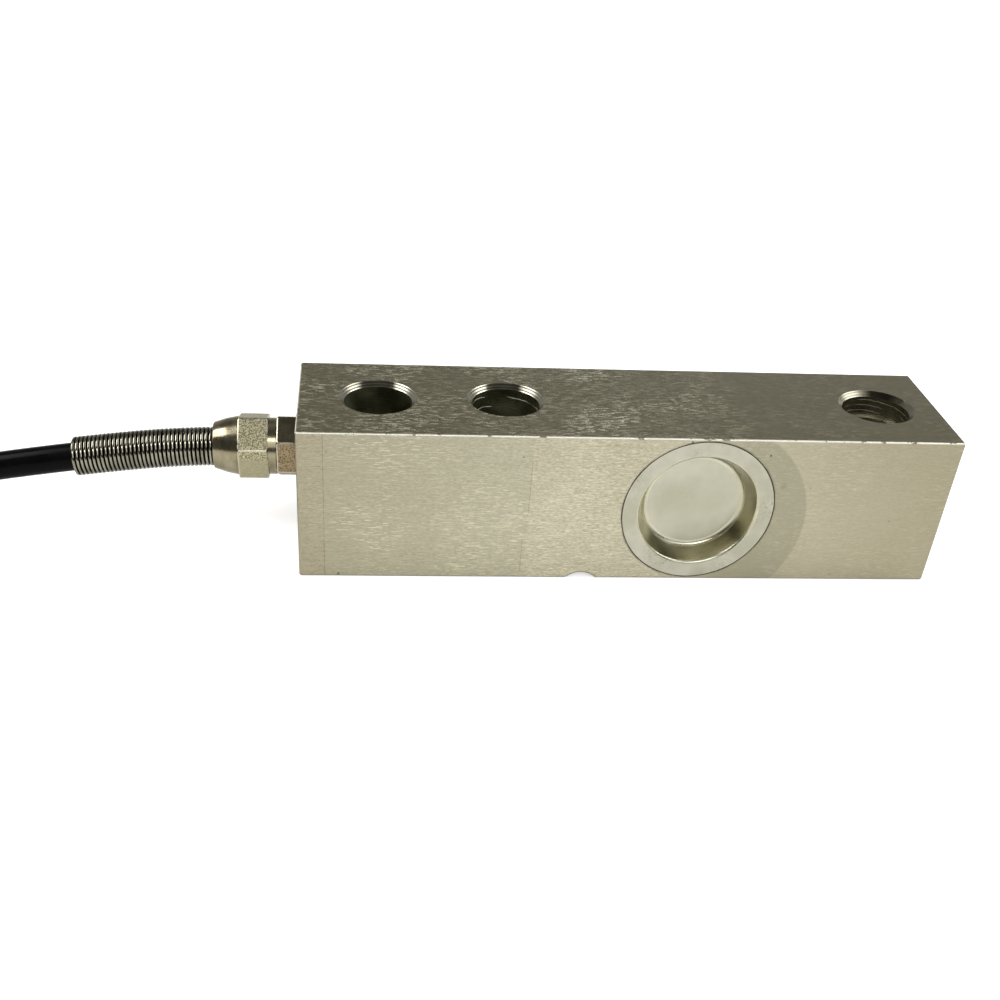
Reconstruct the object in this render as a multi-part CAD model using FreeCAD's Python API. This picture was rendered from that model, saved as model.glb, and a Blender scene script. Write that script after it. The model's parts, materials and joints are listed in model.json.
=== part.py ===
import FreeCAD
import Part
import math
import os
from FreeCAD import Vector

# Shear beam load cell, in millimetres. The origin is midway between the two fixing holes, on the
# bottom face. X runs along the beam to the load end, Y to the rear face, Z up.

# Beam
beam_length = 130.0
beam_width = 31.8
beam_height = 31.8
edge_break = 0.3
cable_end_to_hole = 15.7
fixing_spacing = 25.4
load_hole_to_end = 12.7
groove_radius = 4.4
groove_depth = 1.4
groove_from_hole = 16.1

# Holes through the beam
fixing_hole_dia = 13.5
hole_chamfer = 0.95
load_thread_dia = 12.0
load_recess_dia = 13.5
load_recess_depth = 5.3

# Gauge pockets and the cups that close them
pocket_to_load_hole = 38.1
pocket_dia = 26.0
web_thickness = 6.0
web_hole_dia = 2.4
web_hole_rise = 10.2
cup_depth = 4.0
cup_sheet = 0.5
cup_pocket_gap = 0.55
cup_wall_taper = 1.15
cup_flange_seat = 2.2
cup_lip_radius = 1.2
cup_corner_radius = 1.7
cup_seat_gap = 0.2

# Gauges, terminals and coating inside the pockets
gauge_length = 9.0
gauge_width = 7.0
gauge_carrier = 0.08
gauge_foil = 0.04
gauge_grid = 2.4
gauge_grid_pitch = 3.6
gauge_tab = 0.8
gauge_tab_pitch = 2.0
coating_dia = 13.2
coating_height = 1.2
board_width = 3.6
board_thickness = 1.0
board_gap = 0.2
rear_board_length = 12.0
front_strip_length = 8.0
chip_length = 2.0
chip_width = 1.2
chip_height = 0.5
gauge_wire_dia = 0.24
gauge_wire_rise = 0.9
jumper_dia = 0.6
jumper_rise = 2.2
jumper_pitch = 1.2
jumper_circle = 1.1

# Wire channel and cores
channel_dia = 2.8
core_dia = 1.0
core_spread = 0.6
core_pad_pitch = 2.8

# Cable gland
gland_offset = 9.4
jacket_set_back = 2.0
gland_thread_dia = 10.0
gland_thread_length = 7.5
gland_bore_depth = 9.0
thread_clearance = 0.05
base_hex_flats = 11.5
base_hex_length = 4.9
base_hex_turn = 1.7
base_hex_chamfer = 0.2
barrel_dia = 9.1
barrel_length = 5.5
barrel_step = 1.3
grommet_dia = 7.8
grommet_proud = 0.4
washer_thickness = 0.8
washer_gap = 0.1
nut_gap = 0.2
nut_collar_dia = 11.7
nut_collar_length = 1.6
nut_flats = 12.3
nut_hex_length = 6.1
nut_hex_turn = -12.0
nut_hex_chamfer = 0.2
nut_nose_length = 5.3
nut_nose_dia = 9.5
nut_nose_fall = 0.55
nut_nose_radius = 9.0
nut_nose_edge = 0.4
nut_web = 1.8
hex_chamfer_slope = 1.4
stud_chamfer = 0.45
o_ring_section = 0.58
o_ring_gap = 0.01

# Bend spring
spring_dia = 8.2
spring_wire = 0.86
spring_free_length = 29.3
spring_ridge = 0.3
spring_seat_gap = 0.05
nose_flare = 0.2

# Cable, its hank and its far end
cable_dia = 5.8
jacket_gap = 0.1
cord_arc_share = 0.45
hank_loop_radius = 17.4
hank_half_length = 33.0
hank_waist_draw = 8.7
hank_columns = 2
hank_turns_up = 5.37
hank_entry_run = 18.0
tie_width = 4.8
tie_thickness = 1.0
tie_corner = 3.0
tie_head_length = 6.5
tie_head_height = 7.0
tie_head_depth = 4.0
sleeve_length = 8.0
sleeve_wall = 0.25
lead_dia = 1.1
lead_pitch = 1.5
lead_names = ("lead_red", "lead_black", "lead_green", "lead_white", "lead_shield")
lead_rings = (2, 0, 1, 3, 4)
lead_angles = (-50, 0, 50)

# Places worked out from the sizes
cable_end_x = -fixing_spacing / 2 - cable_end_to_hole
load_end_x = cable_end_x + beam_length
load_hole_x = load_end_x - load_hole_to_end
pocket_x = load_hole_x - pocket_to_load_hole
pocket_z = beam_height / 2
groove_x = fixing_spacing / 2 + groove_from_hole
cup_flange_dia = pocket_dia + 2 * cup_flange_seat
cup_mouth_dia = pocket_dia - 2 * (cup_sheet + cup_pocket_gap)
cup_floor_dia = cup_mouth_dia - 2 * cup_wall_taper
gland_y = gland_offset
gland_z = beam_height / 2
face_y = beam_width / 2
web_y = web_thickness / 2
jacket_end_x = cable_end_x - jacket_set_back
barrel_end_x = cable_end_x - base_hex_length - barrel_length
seat_x = cable_end_x - base_hex_length - barrel_step
washer_in_x = barrel_end_x - grommet_proud
washer_out_x = washer_in_x - washer_thickness
nut_start_x = cable_end_x - base_hex_length - nut_gap
nut_hex_x = nut_start_x - nut_collar_length
nut_nose_x = nut_hex_x - nut_hex_length
nut_end_x = nut_nose_x - nut_nose_length
spring_seat_x = washer_out_x - nut_web
board_top_y = web_y + board_thickness
board_offset = coating_dia / 2 + board_gap + board_width / 2

# Route of the cable: straight out of the gland, down to the floor, then into the hank
floor_z = cable_dia / 2
cable_route = [
    Vector(jacket_end_x, gland_y, gland_z),
    Vector(-49.5, gland_y, gland_z),
    Vector(-72.0, 9.4, 13.3),
    Vector(-95.0, 9.6, 9.6),
    Vector(-112.5, 12.0, 5.0),
    Vector(-127.5, 14.4, floor_z),
    Vector(-142.0, 14.4, floor_z),
]
hank_outer_radius = hank_loop_radius + (hank_columns - 0.5) * cable_dia
hank_inner_radius = hank_loop_radius - cable_dia / 2
hank_x = cable_route[-1].x - hank_entry_run - hank_half_length
hank_y = cable_route[-1].y - hank_outer_radius + cable_dia / 2
hank_height = cable_dia * (hank_turns_up + 1)
hank_waist = hank_outer_radius - hank_waist_draw


def unit(vector):
    return Vector(vector).normalize()


def cord_radii(points):
    radii = []
    for before, corner, after in zip(points, points[1:], points[2:]):
        into = corner.sub(before)
        out = after.sub(corner)
        reach = cord_arc_share * min(into.Length, out.Length)
        radii.append(reach / math.tan(into.getAngle(out) / 2))
    return radii


def rounded_edges(points, radii):
    edges = []
    start = points[0]
    corners = zip(points, points[1:], points[2:], radii)
    for before, corner, after, radius in corners:
        into = unit(corner.sub(before))
        out = unit(after.sub(corner))
        half_turn = into.getAngle(out) / 2
        reach = radius * math.tan(half_turn)
        arc_start = corner - into * reach
        arc_end = corner + out * reach
        if radius > 0:
            inward = unit(out.sub(into))
            middle = corner + inward * (radius / math.cos(half_turn) - radius)
            edges.append(Part.LineSegment(start, arc_start).toShape())
            edges.append(Part.Arc(arc_start, middle, arc_end).toShape())
        else:
            edges.append(Part.LineSegment(start, corner).toShape())
        start = arc_end
    edges.append(Part.LineSegment(start, points[-1]).toShape())
    return edges


def tube(points, radii, diameter):
    path = Part.Wire(rounded_edges(points, radii))
    ring = Part.makeCircle(diameter / 2, points[0], points[1].sub(points[0]))
    return path.makePipe(Part.Face(Part.Wire(ring)))


def bent_wire(points, bend_radius, diameter):
    return tube(points, [bend_radius] * (len(points) - 2), diameter)


def turned_on_x(outline, y, z, radii=None):
    # outline is a list of (x, radius), revolved about the line along X through y and z
    points = [Vector(x, y, z + r) for x, r in outline]
    corner_radii = radii or [0] * (len(points) - 2)
    edges = rounded_edges(points, corner_radii)
    edges.append(Part.LineSegment(points[-1], points[0]).toShape())
    face = Part.Face(Part.Wire(edges))
    return face.revolve(Vector(0, y, z), Vector(1, 0, 0), 360)


def turned_on_pocket(outline, side, radii=None):
    # outline is a list of (depth from the side face, radius), side is -1 for front and 1 for rear
    points = [Vector(pocket_x, side * (face_y - depth), pocket_z + r) for depth, r in outline]
    corner_radii = radii or [0] * (len(points) - 2)
    edges = rounded_edges(points, corner_radii)
    edges.append(Part.LineSegment(points[-1], points[0]).toShape())
    face = Part.Face(Part.Wire(edges))
    return face.revolve(Vector(pocket_x, 0, pocket_z), Vector(0, 1, 0), 360)


def turned_on_z(outline, x):
    points = [Vector(x + r, 0, z) for r, z in outline]
    face = Part.Face(Part.makePolygon(points + [points[0]]))
    return face.revolve(Vector(x, 0, 0), Vector(0, 0, 1), 360)


def hexagon(flats, x_inner, x_outer, turn, chamfer):
    corner = flats / math.sqrt(3)
    angles = [math.radians(turn + 30 + 60 * k) for k in range(6)]
    points = [
        Vector(x_outer, gland_y - corner * math.cos(a), gland_z + corner * math.sin(a))
        for a in angles
    ]
    face = Part.Face(Part.makePolygon(points + [points[0]]))
    prism = face.extrude(Vector(x_inner - x_outer, 0, 0))
    rim = corner - chamfer
    run = 2 * chamfer * hex_chamfer_slope
    envelope = turned_on_x(
        [
            (x_inner, 0),
            (x_inner, rim),
            (x_inner - run, corner + chamfer),
            (x_outer + run, corner + chamfer),
            (x_outer, rim),
            (x_outer, 0),
        ],
        gland_y,
        gland_z,
    )
    return prism.common(envelope)


def x_bore(diameter, x_inner, x_outer):
    return Part.makeCylinder(
        diameter / 2, x_inner - x_outer, Vector(x_outer, gland_y, gland_z), Vector(1, 0, 0)
    )


def fixing_hole_cutter(x):
    radius = fixing_hole_dia / 2
    past = hole_chamfer
    mouth = radius + hole_chamfer + past
    return turned_on_z(
        [
            (0, -past),
            (mouth, -past),
            (radius, hole_chamfer),
            (radius, beam_height - hole_chamfer),
            (mouth, beam_height + past),
            (0, beam_height + past),
        ],
        x,
    )


def load_hole_cutter():
    thread = load_thread_dia / 2
    recess = load_recess_dia / 2
    past = hole_chamfer
    ledge = beam_height - load_recess_depth
    return turned_on_z(
        [
            (0, -past),
            (thread + hole_chamfer + past, -past),
            (thread, hole_chamfer),
            (thread, ledge),
            (recess, ledge),
            (recess, beam_height - hole_chamfer),
            (recess + hole_chamfer + past, beam_height + past),
            (0, beam_height + past),
        ],
        load_hole_x,
    )


def pocket_cutter(side):
    seat = cup_flange_dia / 2 + cup_seat_gap
    past = -edge_break
    return turned_on_pocket(
        [
            (past, 0),
            (past, seat),
            (cup_sheet, seat),
            (cup_sheet, pocket_dia / 2),
            (face_y - web_y, pocket_dia / 2),
            (face_y - web_y, 0),
        ],
        side,
    )


def o_ring_seat_dia():
    return gland_thread_dia + 2 * o_ring_section


def beam_body():
    block = Part.makeBox(
        beam_length, beam_width, beam_height, Vector(cable_end_x, -face_y, 0)
    )
    body = block.makeChamfer(edge_break, block.Edges)
    groove = Part.makeCylinder(
        groove_radius,
        beam_width,
        Vector(groove_x, -face_y, groove_depth - groove_radius),
        Vector(0, 1, 0),
    )
    web_hole = Part.makeCylinder(
        web_hole_dia / 2,
        web_thickness,
        Vector(pocket_x, -web_y, pocket_z + web_hole_rise),
        Vector(0, 1, 0),
    )
    cutters = [
        fixing_hole_cutter(-fixing_spacing / 2),
        fixing_hole_cutter(fixing_spacing / 2),
        load_hole_cutter(),
        pocket_cutter(-1),
        pocket_cutter(1),
        groove,
        web_hole,
        x_bore(gland_thread_dia, cable_end_x + gland_bore_depth, cable_end_x),
        x_bore(o_ring_seat_dia(), cable_end_x + o_ring_section, cable_end_x),
        x_bore(channel_dia, pocket_x - pocket_dia / 2 + board_gap, cable_end_x),
    ]
    for cutter in cutters:
        body = body.cut(cutter)
    return body


def sealing_cup(side):
    flange = cup_flange_dia / 2
    mouth = cup_mouth_dia / 2
    floor = cup_floor_dia / 2
    outline = [
        (cup_depth, 0),
        (cup_depth, floor),
        (0, mouth),
        (0, flange),
        (cup_sheet, flange),
        (cup_sheet, mouth + cup_sheet),
        (cup_depth + cup_sheet, floor + cup_sheet),
        (cup_depth + cup_sheet, 0),
    ]
    under_lip = cup_lip_radius - cup_sheet
    radii = [cup_corner_radius, cup_lip_radius, 0, 0, under_lip, cup_corner_radius + cup_sheet]
    return turned_on_pocket(outline, side, radii)


def pocket_box(side, x, z, length, width, low, high):
    # a plate on the web, from low to high above the middle plane, on the given side
    y = low if side > 0 else -high
    return Part.makeBox(
        length, high - low, width, Vector(x - length / 2, y, z - width / 2)
    )


def tab_heights():
    return [pocket_z + gauge_tab_pitch * k for k in (-1, 0, 1)]


def strain_gauge(side):
    carrier_top = web_y + gauge_carrier
    foil_top = carrier_top + gauge_foil
    gauge = pocket_box(side, pocket_x, pocket_z, gauge_length, gauge_width, web_y, carrier_top)
    for place in (-1, 1):
        x = pocket_x + side * (gauge_tab + place * gauge_grid_pitch) / 2
        grid = pocket_box(side, x, pocket_z, gauge_grid, gauge_grid, carrier_top, foil_top)
        grid.rotate(Vector(x, 0, pocket_z), Vector(0, 1, 0), 45)
        gauge = gauge.fuse(grid)
    for z in tab_heights():
        x = pocket_x - side * (gauge_length / 2 - gauge_tab / 2)
        gauge = gauge.fuse(
            pocket_box(side, x, z, gauge_tab, gauge_tab, carrier_top, foil_top)
        )
    return gauge.removeSplitter()


def gauge_wires(side):
    # lacquered wires from the gauge tabs over to the terminals
    foil_top = web_y + gauge_carrier + gauge_foil
    crest = board_top_y + gauge_wire_rise
    tab_x = pocket_x - side * (gauge_length / 2 - gauge_tab / 2)
    pad_x = pocket_x - side * (board_offset - board_width / 2 + gauge_tab)
    bend = gauge_wire_rise / 2
    wires = []
    for z in tab_heights():
        points = [
            Vector(tab_x, side * foil_top, z),
            Vector(tab_x, side * crest, z),
            Vector(pad_x, side * crest, z),
            Vector(pad_x, side * board_top_y, z),
        ]
        wires.append(bent_wire(points, bend, gauge_wire_dia))
    return Part.makeCompound(wires)


def gauge_coating(side, gauge, wires):
    # low silicone dome over the gauge, with the gauge and its wires set in it
    radius = coating_dia / 2
    shoulder = coating_height / 2
    foot = face_y - web_y
    dome = turned_on_pocket(
        [
            (foot, 0),
            (foot, radius),
            (foot - coating_height, radius - shoulder),
            (foot - coating_height, 0),
        ],
        side,
        [0, shoulder / 2],
    )
    return dome.cut(gauge).cut(wires)


def terminal_plate(side, length):
    x = pocket_x - side * board_offset
    return pocket_box(side, x, pocket_z, board_width, length, web_y, board_top_y)


def trim_resistors():
    chip_x = pocket_x - board_offset + board_width / 2 - chip_width / 2
    chip_top = board_top_y + chip_height
    chips = [
        pocket_box(1, chip_x, pocket_z + side * rear_board_length / 3, chip_width, chip_length,
                   board_top_y, chip_top)
        for side in (-1, 1)
    ]
    return Part.makeCompound(chips)


def web_jumper_wires():
    # three wires from the front strip through the web to the rear board
    hole_z = pocket_z + web_hole_rise
    crest = board_top_y + jumper_rise
    front_x = pocket_x + board_offset + board_width / 4
    rear_x = pocket_x - board_offset
    rear_z = pocket_z + rear_board_length / 2 - jumper_dia
    wires = []
    for k in (-1, 0, 1):
        turn = math.radians(120 * k)
        across = jumper_circle / 2 * math.sin(turn)
        up = jumper_circle / 2 * math.cos(turn)
        front_z = pocket_z + jumper_pitch * (1 - k)
        pad_x = rear_x + jumper_pitch * k
        points = [
            Vector(front_x, -board_top_y, front_z),
            Vector(front_x, -crest, front_z),
            Vector(pocket_x + across, -crest, hole_z + up),
            Vector(pocket_x + across, crest, hole_z + up),
            Vector(pad_x, crest, rear_z),
            Vector(pad_x, board_top_y, rear_z),
        ]
        wires.append(bent_wire(points, jumper_rise / 3, jumper_dia))
    return Part.makeCompound(wires)


def core(across, up, pad_step):
    # one insulated core, from the end of the jacket through the channel to its pad
    y = gland_y + across * core_spread
    z = gland_z + up * core_spread
    entry_x = pocket_x - pocket_dia / 2 + board_width / 2
    pad_x = pocket_x - board_offset - board_width / 4
    pad_z = pocket_z + pad_step * core_pad_pitch
    landing = board_top_y + jumper_rise + core_dia
    points = [
        Vector(jacket_end_x, y, z),
        Vector(entry_x, y, z),
        Vector(pad_x, landing, pad_z),
        Vector(pad_x, board_top_y, pad_z),
    ]
    return bent_wire(points, core_dia, core_dia)


def channel_sealant(cores):
    stud_end_x = cable_end_x + gland_thread_length
    bore_end_x = cable_end_x + gland_bore_depth
    plug = x_bore(gland_thread_dia - 2 * thread_clearance, bore_end_x, stud_end_x)
    stem_dia = channel_dia + core_dia - 2 * thread_clearance
    stem = x_bore(stem_dia, stud_end_x, jacket_end_x + core_dia)
    sealant = plug.fuse(stem)
    for one in cores:
        sealant = sealant.cut(one)
    return sealant


def gland_body():
    stud_radius = gland_thread_dia / 2 - thread_clearance
    stud_end_x = cable_end_x + gland_thread_length
    base_end_x = cable_end_x - base_hex_length
    stud = turned_on_x(
        [
            (stud_end_x, 0),
            (stud_end_x, stud_radius - stud_chamfer),
            (stud_end_x - stud_chamfer, stud_radius),
            (cable_end_x, stud_radius),
            (cable_end_x, 0),
        ],
        gland_y,
        gland_z,
    )
    base = hexagon(base_hex_flats, cable_end_x, base_end_x, base_hex_turn, base_hex_chamfer)
    barrel = x_bore(barrel_dia, base_end_x, barrel_end_x)
    body = stud.fuse([base, barrel])
    body = body.cut(x_bore(channel_dia + core_dia, stud_end_x, jacket_end_x))
    body = body.cut(x_bore(cable_dia + 2 * jacket_gap, jacket_end_x, seat_x))
    body = body.cut(x_bore(grommet_dia, seat_x, barrel_end_x))
    return body.removeSplitter()


def gland_o_ring():
    middle = gland_thread_dia / 2 + o_ring_section / 2
    return Part.makeTorus(
        middle,
        o_ring_section / 2 - o_ring_gap,
        Vector(cable_end_x + o_ring_section / 2, gland_y, gland_z),
        Vector(1, 0, 0),
    )


def gland_grommet():
    sleeve = x_bore(grommet_dia - 2 * o_ring_gap, seat_x, washer_in_x)
    return sleeve.cut(x_bore(cable_dia + 2 * o_ring_gap, seat_x, washer_in_x))


def gland_washer():
    disc = x_bore(barrel_dia - 2 * washer_gap, washer_in_x, washer_out_x)
    return disc.cut(x_bore(cable_dia + 2 * jacket_gap, washer_in_x, washer_out_x))


def gland_nut():
    nose_start = nut_flats / 2
    nose_end = nut_nose_dia / 2
    collar = x_bore(nut_collar_dia, nut_start_x, nut_hex_x)
    hexagonal = hexagon(nut_flats, nut_hex_x, nut_nose_x, nut_hex_turn, nut_hex_chamfer)
    shoulder_x = nut_nose_x - nut_nose_length / 2
    nose = turned_on_x(
        [
            (nut_nose_x, 0),
            (nut_nose_x, nose_start),
            (shoulder_x, nose_start - nut_nose_fall),
            (nut_end_x, nose_end),
            (nut_end_x, 0),
        ],
        gland_y,
        gland_z,
        [0, nut_nose_radius, nut_nose_edge],
    )
    socket = turned_on_x(
        [
            (spring_seat_x, 0),
            (spring_seat_x, spring_dia / 2 + spring_seat_gap),
            (nut_end_x, spring_dia / 2 + spring_seat_gap + nose_flare),
            (nut_end_x, 0),
        ],
        gland_y,
        gland_z,
    )
    nut = collar.fuse([hexagonal, nose])
    nut = nut.cut(x_bore(barrel_dia + 2 * thread_clearance, nut_start_x, washer_out_x))
    nut = nut.cut(x_bore(cable_dia + 2 * jacket_gap, washer_out_x, spring_seat_x))
    return nut.cut(socket).removeSplitter()


def place_on_path(edges, distance):
    # the point and direction at a distance along the edges of a path
    for edge in edges:
        if distance <= edge.Length:
            break
        distance -= edge.Length
    at = edge.getParameterByLength(min(distance, edge.Length))
    return edge.valueAt(at), edge.tangentAt(at)


def bend_spring():
    # close coils as ridges on a sleeve that follows the cable out of the nose
    path = rounded_edges(cable_route, cord_radii(cable_route))
    start = jacket_end_x - spring_seat_x + spring_seat_gap
    length = spring_seat_x - nut_end_x + spring_free_length
    coils = round(length / spring_wire)
    pitch = length / coils
    crest = spring_dia / 2
    outside = []
    inside = []
    for half in range(2 * coils + 1):
        point, along = place_on_path(path, start + half * pitch / 2)
        radius = crest if half % 2 else crest - spring_ridge
        outside.append(Part.Wire(Part.makeCircle(radius, point, along)))
        if half % 4 == 0 or half == 2 * coils:
            inside.append(Part.Wire(Part.makeCircle(crest - spring_wire, point, along)))
    sleeve = Part.makeLoft(outside, True, True)
    return sleeve.cut(Part.makeLoft(inside, True, True))


def cable_run():
    radii = cord_radii(cable_route)
    print("cable bend radii", [round(r) for r in radii])
    path = Part.Wire(rounded_edges(cable_route, radii))
    run = tube(cable_route, radii, cable_dia)
    section = math.pi * cable_dia**2 / 4
    print("cable volume", round(run.Volume, 1), "section times length", round(section * path.Length, 1))
    return run


def hank_outline(loop_radius):
    # two round loops with a drawn-in waist between them, each side three tangent arcs
    waist = loop_radius - hank_waist_draw
    half = hank_half_length
    bend = (half**2 + hank_waist_draw**2) / (4 * hank_waist_draw)
    slope = math.asin(half / 2 / bend)
    mid_x = bend * math.sin(slope / 2)
    mid_y = bend * (1 - math.cos(slope / 2))
    between = (loop_radius + waist) / 2

    def at(x, y):
        return Vector(hank_x + x, hank_y + y, 0)

    edges = []
    for way in (1, -1):
        arcs = [
            (at(way * half, way * loop_radius), at(way * (half - mid_x), way * (loop_radius - mid_y)),
             at(way * half / 2, way * between)),
            (at(way * half / 2, way * between), at(0, way * waist), at(-way * half / 2, way * between)),
            (at(-way * half / 2, way * between), at(way * (mid_x - half), way * (loop_radius - mid_y)),
             at(-way * half, way * loop_radius)),
            (at(-way * half, way * loop_radius), at(-way * (half + loop_radius), 0),
             at(-way * half, -way * loop_radius)),
        ]
        edges += [Part.Arc(*arc).toShape() for arc in arcs]
    return Part.Face(Part.Wire(edges))


def tie_band(grow):
    # the closed band of the tie round the waist, its outer face grown by a thickness
    low = tie_thickness - grow
    high = hank_height - tie_thickness + grow
    half = hank_waist - tie_thickness + grow
    block = Part.makeBox(
        tie_width, 2 * half, high - low, Vector(hank_x - tie_width / 2, hank_y - half, low)
    )
    along = [e for e in block.Edges if abs(e.tangentAt(e.FirstParameter).x) > 0.9]
    return block.makeFillet(tie_corner - tie_thickness + grow, along)


def tail_end():
    # where the jacket ends, inside the load-side loop of the hank
    return Vector(
        hank_x + hank_half_length - sleeve_length,
        hank_y - hank_loop_radius / 2,
        floor_z + sleeve_wall,
    )


def cable_hank(tie):
    outer = hank_outline(hank_outer_radius)
    inner = hank_outline(hank_inner_radius)
    rise = Vector(0, 0, hank_height)
    hank = outer.extrude(rise).cut(inner.extrude(rise))
    entry = cable_route[-1]
    heading = unit(entry.sub(cable_route[-2]))
    stub = Part.makeCylinder(cable_dia / 2, hank_entry_run, entry, heading)
    end = tail_end()
    tail_run = hank_half_length - sleeve_length
    tail = Part.makeCylinder(
        cable_dia / 2, tail_run - tie_width, end - Vector(tail_run - tie_width, 0, 0), Vector(1, 0, 0)
    )
    return hank.cut(tie).fuse([stub, tail]).removeSplitter()


def hank_tie():
    band = tie_band(tie_thickness).cut(tie_band(0))
    head = Part.makeBox(
        tie_head_length,
        tie_head_depth,
        tie_head_height,
        Vector(hank_x - tie_head_length / 2, hank_y - hank_waist - tie_head_depth, hank_height / 2),
    )
    return band.fuse(head.makeFillet(edge_break, head.Edges)).removeSplitter()


def lead_sleeve(leads):
    # shrink sleeve, half of it on the jacket and half on the leads
    end = tail_end()
    along = Vector(1, 0, 0)
    half = sleeve_length / 2
    sleeve = Part.makeCylinder(cable_dia / 2 + sleeve_wall, sleeve_length, end - along * half, along)
    jacket = Part.makeCylinder(cable_dia / 2 + o_ring_gap, half, end - along * half, along)
    sleeve = sleeve.cut(jacket)
    for lead in leads:
        sleeve = sleeve.cut(lead)
    return sleeve


def far_lead(order):
    # one bare-ended core lying in the loop of the hank
    start = tail_end()
    spread = lead_rings[order] - (len(lead_names) - 1) / 2
    turn = 2 * math.pi * order / len(lead_names)
    across = lead_pitch * math.sin(turn)
    up = lead_pitch * math.cos(turn)
    loop_x = hank_x + hank_half_length
    ring = hank_loop_radius / 2 + spread * lead_pitch
    rest_z = lead_dia / 2
    points = [start + Vector(0, across, up)]
    points.append(points[0] + Vector(sleeve_length / 2 + 2 * lead_dia, 0, 0))
    for angle in lead_angles:
        a = math.radians(angle)
        points.append(Vector(loop_x + ring * math.cos(a), hank_y + ring * math.sin(a), rest_z))
    return bent_wire(points, lead_dia, lead_dia)


def build():
    cores = {
        "core_red": core(1, -1, -1.5),
        "core_black": core(-1, -1, -0.5),
        "core_green": core(-1, 1, 0.5),
        "core_white": core(1, 1, 1.5),
    }
    leads = {name: far_lead(order) for order, name in enumerate(lead_names)}
    front_gauge = strain_gauge(-1)
    rear_gauge = strain_gauge(1)
    front_wires = gauge_wires(-1)
    rear_wires = gauge_wires(1)
    tie = hank_tie()
    parts = {
        "beam_body": beam_body(),
        "front_sealing_cup": sealing_cup(-1),
        "rear_sealing_cup": sealing_cup(1),
        "front_strain_gauge": front_gauge,
        "rear_strain_gauge": rear_gauge,
        "front_gauge_wires": front_wires,
        "rear_gauge_wires": rear_wires,
        "front_gauge_coating": gauge_coating(-1, front_gauge, front_wires),
        "rear_gauge_coating": gauge_coating(1, rear_gauge, rear_wires),
        "front_terminal_strip": terminal_plate(-1, front_strip_length),
        "rear_terminal_board": terminal_plate(1, rear_board_length),
        "trim_resistors": trim_resistors(),
        "web_jumper_wires": web_jumper_wires(),
        "channel_sealant": channel_sealant(cores.values()),
        "gland_body": gland_body(),
        "gland_o_ring": gland_o_ring(),
        "gland_grommet": gland_grommet(),
        "gland_washer": gland_washer(),
        "gland_nut": gland_nut(),
        "bend_spring": bend_spring(),
        "cable_run": cable_run(),
        "cable_hank": cable_hank(tie),
        "hank_tie": tie,
        "lead_sleeve": lead_sleeve(leads.values()),
    }
    parts.update(cores)
    parts.update(leads)
    return parts


os.makedirs("parts", exist_ok=True)
for node, shape in build().items():
    print(node, "solids", len(shape.Solids), "valid", shape.isValid(), "volume", round(shape.Volume, 2))
    shape.exportStep("parts/" + node + ".step")
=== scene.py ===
import json
import math

import bpy
from mathutils import Matrix, Vector


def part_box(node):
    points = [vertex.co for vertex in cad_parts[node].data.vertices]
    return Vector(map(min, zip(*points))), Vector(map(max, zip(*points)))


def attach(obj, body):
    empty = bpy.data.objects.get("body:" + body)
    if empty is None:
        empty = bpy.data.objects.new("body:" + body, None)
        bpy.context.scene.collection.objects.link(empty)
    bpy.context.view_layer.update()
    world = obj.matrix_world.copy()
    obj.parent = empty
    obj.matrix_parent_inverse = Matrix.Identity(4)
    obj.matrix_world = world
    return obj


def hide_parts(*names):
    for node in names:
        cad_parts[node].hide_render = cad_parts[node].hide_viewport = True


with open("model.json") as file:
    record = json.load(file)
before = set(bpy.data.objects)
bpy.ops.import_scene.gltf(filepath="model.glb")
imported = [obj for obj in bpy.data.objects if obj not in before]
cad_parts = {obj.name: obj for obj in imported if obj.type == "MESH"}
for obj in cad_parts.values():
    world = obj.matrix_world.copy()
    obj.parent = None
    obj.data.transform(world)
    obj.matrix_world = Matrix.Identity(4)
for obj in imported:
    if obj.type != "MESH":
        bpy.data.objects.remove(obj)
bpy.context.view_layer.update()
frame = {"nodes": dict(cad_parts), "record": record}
cadNodes = frame["nodes"]
mounts = {mount["name"]: mount for mount in frame["record"]["mounts"]}
scene = bpy.context.scene
scene.view_settings.view_transform = "Standard"
mm = 0.001
rootBody = "root"
beamLow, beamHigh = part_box("beam_body")
cupLow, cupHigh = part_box("front_sealing_cup")
cupCentre = (cupLow + cupHigh) / 2
fixingGap = mounts["fixing_holes"]["dims"]["spacing_x_mm"] * mm
loadHoleX = mounts["load_hole"]["pos_m"][0]
holePlaces = [-fixingGap / 2, fixingGap / 2, loadHoleX]
print("frame loaded,", len(cadNodes), "nodes")


# Small tools
def switchTo(mode):
    bpy.ops.object.mode_set(mode=mode)


def clearSelection():
    if bpy.context.object and bpy.context.object.mode != "OBJECT":
        switchTo("OBJECT")
    bpy.ops.object.select_all(action="DESELECT")


def makeActive(piece):
    clearSelection()
    piece.select_set(True)
    bpy.context.view_layer.objects.active = piece


def newObject(name, data):
    piece = bpy.data.objects.new(name, data)
    scene.collection.objects.link(piece)
    return piece


def settle(piece):  # puts the piece's place into its mesh, with the object at the origin
    makeActive(piece)
    bpy.ops.object.transform_apply(location=True, rotation=True, scale=True)


def smooth(piece, crease):
    makeActive(piece)
    bpy.ops.object.shade_smooth_by_angle(angle=math.radians(crease))


def addModifier(piece, kind, **settings):
    makeActive(piece)
    modifier = piece.modifiers.new(kind.lower(), kind)
    for name, value in settings.items():
        setattr(modifier, name, value)
    bpy.ops.object.modifier_apply(modifier=modifier.name)


def dress(piece, slot, *materials):
    piece.data.materials.clear()
    for material in materials:
        piece.data.materials.append(material)
    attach(piece, rootBody)


def selectAll(piece):
    makeActive(piece)
    switchTo("EDIT")
    bpy.ops.mesh.select_all(action="SELECT")


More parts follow.
